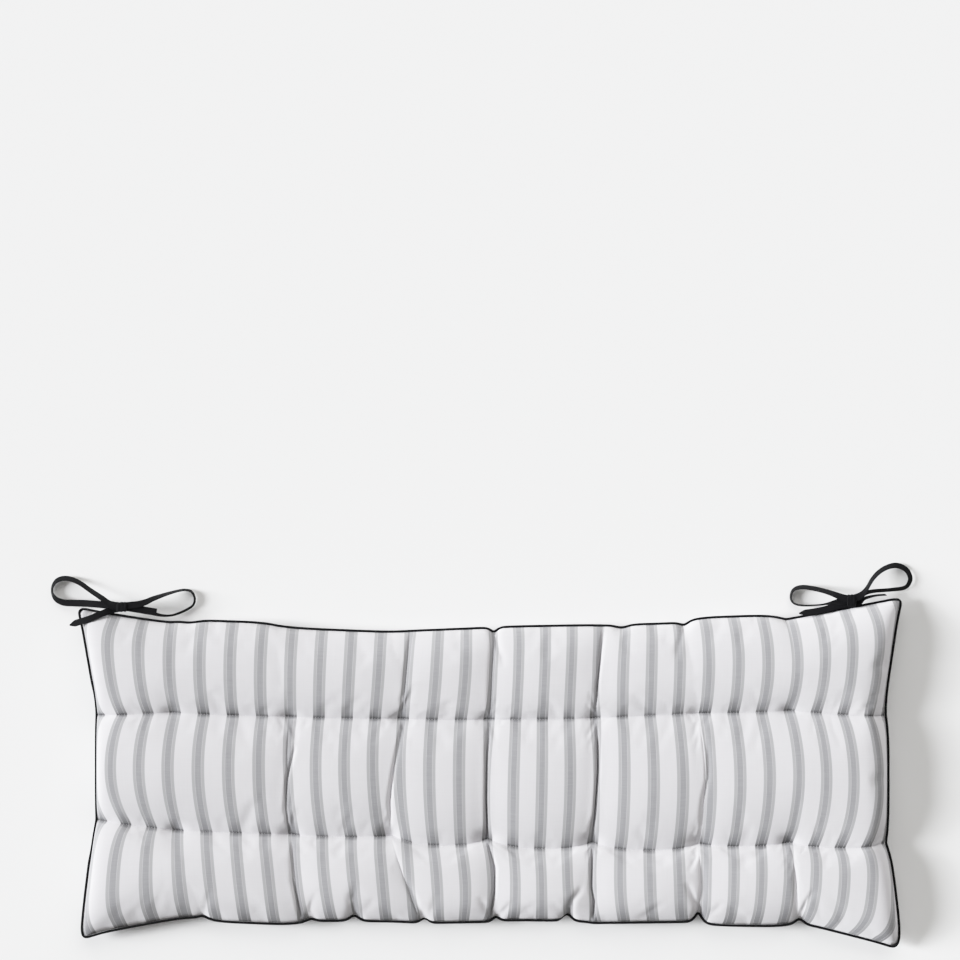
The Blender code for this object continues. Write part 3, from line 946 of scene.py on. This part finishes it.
def newGroup(name, values, outputs):
    # a group that is given a place on the flat cloth, in metres, and some values
    tree = bpy.data.node_groups.new(name, "ShaderNodeTree")
    tree.interface.new_socket(name="Place", in_out="INPUT", socket_type="NodeSocketVector")
    for each, value in values.items():
        socket = tree.interface.new_socket(name=each, in_out="INPUT", socket_type="NodeSocketFloat")
        socket.default_value = value
    for each in outputs:
        tree.interface.new_socket(name=each, in_out="OUTPUT", socket_type="NodeSocketFloat")
    place = tree.nodes.new("NodeGroupInput").outputs
    split = tree.nodes.new("ShaderNodeSeparateXYZ")
    tree.links.new(place["Place"], split.inputs[0])
    return tree, place, split.outputs, tree.nodes.new("NodeGroupOutput").inputs


weaveSet = {
    "depth": 0.3,  # how far a thread comes forward and goes back
    "slubScales": ((420.0, 14.0, 1.0), (14.0, 420.0, 1.0)),  # along and across the cloth
    "slub": {"Scale": 1.0, "Detail": 3.0, "Roughness": 0.6},
}
stripeSet = {"Pitch": cushionSet["pitch"], "Band": 4.4 * mm, "Line In": 4.7 * mm,
             "Line Out": 9.2 * mm}
stripeSoft = 0.3 * mm  # of the stripes' edges
rowSet = {"Reach": 4.2 * mm, "Stitch": stitchSet["pitch"], "Shade Reach": 36 * mm}
rowWaves = (0.2, 0.8)  # how the dents rise and fall from stitch to stitch
rowSoftness = 0.2
frontShade = 1.5  # how much further the shade reaches at the front edge
shadeFade = 2.0


def weaveGroup(s):
    # threads over and under each other, so many to the metre
    tree, given, at, result = newGroup("plainWeave", {"Threads": 1500.0}, ("Height", "Slub"))
    calc, link = partial(maths, tree), tree.links.new
    u, v = (calc("MULTIPLY", at[axis], given["Threads"]) for axis in "XY")
    warp, weft = (calc("ABSOLUTE", calc("SINE", calc("MULTIPLY", each, math.pi)))
                  for each in (u, v))
    cell = calc("ADD", calc("FLOOR", u), calc("FLOOR", v))
    over = calc("FLOORED_MODULO", cell, 2.0)
    link(calc("ADD", calc("MULTIPLY", warp, calc("SUBTRACT", 1 + s["depth"], over)),
              calc("MULTIPLY", weft, calc("ADD", s["depth"], over))), result["Height"])
    slubs = []
    for scale in s["slubScales"]:
        stretched = node(tree, "ShaderNodeMapping", Scale=scale)
        noise = node(tree, "ShaderNodeTexNoise", **s["slub"])
        link(given["Place"], stretched.inputs["Vector"])
        link(stretched.outputs[0], noise.inputs["Vector"])
        slubs.append(noise.outputs["Fac"])
    link(calc("SUBTRACT", calc("ADD", *slubs), 1.0), result["Slub"])
    return tree


def tickingGroup():
    # one wide band between two paler ones, every stripe's width of cloth
    tree, given, at, result = newGroup("tickingStripe", stripeSet, ("Band", "Line"))
    calc, link = partial(maths, tree), tree.links.new
    turns = calc("DIVIDE", at["X"], given["Pitch"])
    nearest = calc("SUBTRACT", turns, calc("ROUND", turns))
    away = calc("MULTIPLY", calc("ABSOLUTE", nearest), given["Pitch"])

    def inside(limit):
        edge = calc("DIVIDE", calc("SUBTRACT", limit, away), stripeSoft)
        return calc("MINIMUM", calc("MAXIMUM", calc("ADD", edge, 0.5), 0.0), 1.0)

    link(inside(given["Band"]), result["Band"])
    link(calc("SUBTRACT", inside(given["Line Out"]), inside(given["Line In"])), result["Line"])
    return tree


def seamGroup(rows):
    # how near each place is to a sewn row, the little dents between its stitches, and the painted
    # shade where the cloth comes down to a row or to the front edge
    tree, given, at, result = newGroup("sewnRow", rowSet, ("Near", "Dents", "Shade"))
    calc, link = partial(maths, tree), tree.links.new
    near = shade = 0.0
    for row in rows:
        away = calc("ABSOLUTE", calc("SUBTRACT", at["Y"], row))
        share = calc("SUBTRACT", 1.0, calc("DIVIDE", away, given["Reach"]))
        near = calc("MAXIMUM", near, share)
    link(calc("SMOOTH_MAX", near, 0.0, rowSoftness), result["Near"])
    turns = calc("DIVIDE", at["X"], given["Stitch"])
    wave = calc("SINE", calc("MULTIPLY", turns, 2 * math.pi))
    link(calc("MULTIPLY", near, calc("MULTIPLY_ADD", wave, *rowWaves)), result["Dents"])
    for row, reach in ((0.0, frontShade), *((row, 1.0) for row in rows)):
        above = calc("DIVIDE", calc("SUBTRACT", at["Y"], row), reach)
        share = calc("SUBTRACT", 1.0, calc("DIVIDE", above, given["Shade Reach"]))
        here = calc("GREATER_THAN", above, -0.1 * mm)
        shade = calc("MAXIMUM", shade, calc("MULTIPLY", share, here))
    link(calc("POWER", shade, shadeFade), result["Shade"])
    return tree


def mixColour(tree, factor, first, second):
    made = node(tree, "ShaderNodeMix", data_type="RGBA")
    for socket, value in zip((0, 6, 7), (factor, first, second)):
        feed(tree, value, made.inputs[socket])
    return made.outputs[2]


def clothMaterial(name, s, weave, ticking=None, seam=None):
    made = bpy.data.materials.new(name)
    made.use_nodes = True
    tree = made.node_tree
    calc, link = partial(maths, tree), tree.links.new
    shader = tree.nodes["Principled BSDF"]
    setInputs(shader, s["shader"])
    place = node(tree, "ShaderNodeUVMap", uv_map="cloth").outputs[0]

    def onCloth(kind, **values):
        placed = node(tree, kind, **values)
        link(place, placed.inputs["Vector" if kind == "ShaderNodeTexNoise" else "Place"])
        return placed.outputs

    threads = onCloth("ShaderNodeGroup", node_tree=weave, Threads=s["threads"])
    colour, height, slub = s["colour"], threads["Height"], s["slub"]
    if ticking:
        stripes = onCloth("ShaderNodeGroup", node_tree=ticking)
        band, line = stripes["Band"], stripes["Line"]
        slub = calc("MULTIPLY_ADD", band, s["bandSlub"], slub)
        colour = mixColour(tree, line, colour, s["lineColour"])
        colour = mixColour(tree, band, colour, s["bandColour"])
    slubAndShade = calc("MULTIPLY_ADD", threads["Slub"], slub, 1.0)
    if seam:
        rows = onCloth("ShaderNodeGroup", node_tree=seam)
        woven = calc("ADD", band, line)
        # painted shade: the cloth is painted darker in the groove of each sewn row, most on the
        # stripes
        depth = calc("MULTIPLY_ADD", woven, s["seamShadeOnStripe"], s["seamShadeOnPlain"])
        patchy = calc("MULTIPLY", onCloth("ShaderNodeTexNoise", **s["patchy"])["Fac"], 2.0)
        depth = calc("MULTIPLY", depth, calc("MULTIPLY", rows["Near"], patchy))
        slubAndShade = calc("MULTIPLY", slubAndShade, calc("SUBTRACT", 1.0, depth))
        # painted shade: the stripes are painted darker where the cloth comes down to a row or to
        # the front edge
        broad = calc("MULTIPLY", onCloth("ShaderNodeTexNoise", **s["broad"])["Fac"],
                     s["shadeOnStripe"])
        shade = calc("MULTIPLY", rows["Shade"], calc("MULTIPLY", woven, broad))
        slubAndShade = calc("MULTIPLY", slubAndShade, calc("SUBTRACT", 1.0, shade))
        height = calc("SUBTRACT", height, calc("MULTIPLY", rows["Dents"], s["seamDepth"]))
    scaled = node(tree, "ShaderNodeVectorMath", operation="SCALE")
    feed(tree, colour[:3] if isinstance(colour, tuple) else colour, scaled.inputs[0])
    link(slubAndShade, scaled.inputs["Scale"])
    link(scaled.outputs[0], shader.inputs["Base Color"])
    bump = node(tree, "ShaderNodeBump", Strength=s["bump"], Distance=s["bumpDepth"])
    link(height, bump.inputs["Height"])
    link(bump.outputs[0], shader.inputs["Normal"])
    return made


cottonSet = {
    "shader": {"Roughness": 0.9, "Diffuse Roughness": 1.0, "Specular IOR Level": 0.15},
    "colour": (0.722, 0.713, 0.737, 1.0), "lineColour": (0.455, 0.452, 0.466, 1.0),
    "bandColour": (0.368, 0.367, 0.383, 1.0), "threads": 1600.0, "slub": 0.06, "bandSlub": 0.2,
    "bump": 0.35, "bumpDepth": 0.15 * mm,
    # painted shade: how much darker the cloth is painted in the groove of a sewn row, and on the
    # stripes above a row and the front edge
    "seamShadeOnPlain": 0.03, "seamShadeOnStripe": 0.45, "shadeOnStripe": 0.9,
    "patchy": {"Scale": 31.0, "Detail": 2.0}, "broad": {"Scale": 9.0, "Detail": 1.0},
    "seamDepth": 5.0,
}
# painted shade: the white thread is coloured a grey darker than the cloth, for the shade of the
# groove it lies in
threadSet = {
    "shader": {"Roughness": 0.8, "Diffuse Roughness": 0.5, "Specular IOR Level": 0.25},
    "colour": (0.52, 0.51, 0.53, 1.0), "threads": 3000.0, "slub": 0.05, "bump": 0.4,
    "bumpDepth": 0.1 * mm,
}
blackSet = {
    "shader": {"Roughness": 0.85, "Diffuse Roughness": 0.6, "Specular IOR Level": 0.12,
               "Sheen Weight": 0.03, "Sheen Roughness": 0.5},
    "colour": (0.0035, 0.0035, 0.0045, 1.0), "threads": 1800.0, "slub": 0.25, "bump": 0.5,
    "bumpDepth": 0.2 * mm,
}
weave = weaveGroup(weaveSet)
cotton = clothMaterial("tickingCotton", cottonSet, weave, tickingGroup(),
                       seamGroup(cushionSet["panelRows"][1:3]))
cottonThread = clothMaterial("cottonThread", threadSet, weave)
black = clothMaterial("blackCotton", blackSet, weave)
for finish, pieces in ((cotton, [cover]), (cottonThread, [stitches]), (black, [piping, *tapes])):
    for piece in pieces:
        piece.data.materials.clear()
        piece.data.materials.append(finish)
print("finishes made")


lightSet = {
    "world": {"Color": (1.0, 0.975, 0.92, 1), "Strength": 0.205},
    # name, strength, softness in degrees, colour, and where it shines from, as degrees round
    # from the right-hand side and degrees above the floor
    "lamps": (
        ("windowLeft", 3.7, 16, (0.965, 0.98, 1.0), 176, 32),
        ("windowLow", 3.2, 16, (0.965, 0.98, 1.0), 176, 20),
        ("softboxBack", 1.7, 60, (1.0, 0.995, 0.98), 84, 37),
        ("softboxAbove", 0.35, 60, (1.0, 0.995, 0.98), 68, 62),
    ),
    # how the camera rolls off towards white: light that comes in, then light that is shown
    "whitest": 2.0,
    "rollOff": ((0.15, 0.3), (0.25, 0.477), (0.375, 0.644), (0.5, 0.7665), (0.7, 0.8977)),
    "paper": {"Base Color": (0.86, 0.86, 0.86, 1), "Roughness": 0.9, "Specular IOR Level": 0.1},
    "floorSize": 8,
    "floorDrop": 0.3 * mm,
    "lampAway": 3,
}


def addLight(name, strength, softness, colour, around, above):
    lamp = bpy.data.lights.new(name, "SUN")
    lamp.energy = strength
    lamp.angle = math.radians(softness)
    lamp.color = colour
    around, above = math.radians(around), math.radians(above)
    towards = Vector((math.cos(around) * math.cos(above), math.sin(around) * math.cos(above),
                      math.sin(above)))
    holder = bpy.data.objects.new(name, lamp)
    holder.location = towards * lightSet["lampAway"]
    holder.rotation_euler = (-towards).to_track_quat("-Z", "Y").to_euler()
    bpy.context.scene.collection.objects.link(holder)


def addStudio(s):
    bpy.ops.mesh.primitive_plane_add(size=s["floorSize"], location=(0, 0, -s["floorDrop"]))
    floor = bpy.context.object
    floor.name = "studioFloor"
    paper = bpy.data.materials.new("paper")
    paper.use_nodes = True
    setInputs(paper.node_tree.nodes["Principled BSDF"], s["paper"])
    floor.data.materials.append(paper)
    floor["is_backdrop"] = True
    world = bpy.data.worlds.new("studio")
    bpy.context.scene.world = world
    world.use_nodes = True
    setInputs(world.node_tree.nodes["Background"], s["world"])
    for lamp in s["lamps"]:
        addLight(*lamp)
    shown = bpy.context.scene.view_settings
    shown.view_transform = "Standard"
    shown.use_curve_mapping = True
    shown.curve_mapping.white_level = (s["whitest"],) * 3
    for place in s["rollOff"]:
        shown.curve_mapping.curves[3].points.new(*place)
    shown.curve_mapping.update()


addStudio(lightSet)
addView(viewSet)

seenLow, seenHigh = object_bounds()
for label, low, high in (("cad", cadLow, cadHigh), ("visual", seenLow, seenHigh)):
    print(label, [round(v, 4) for v in (*low, *high)])
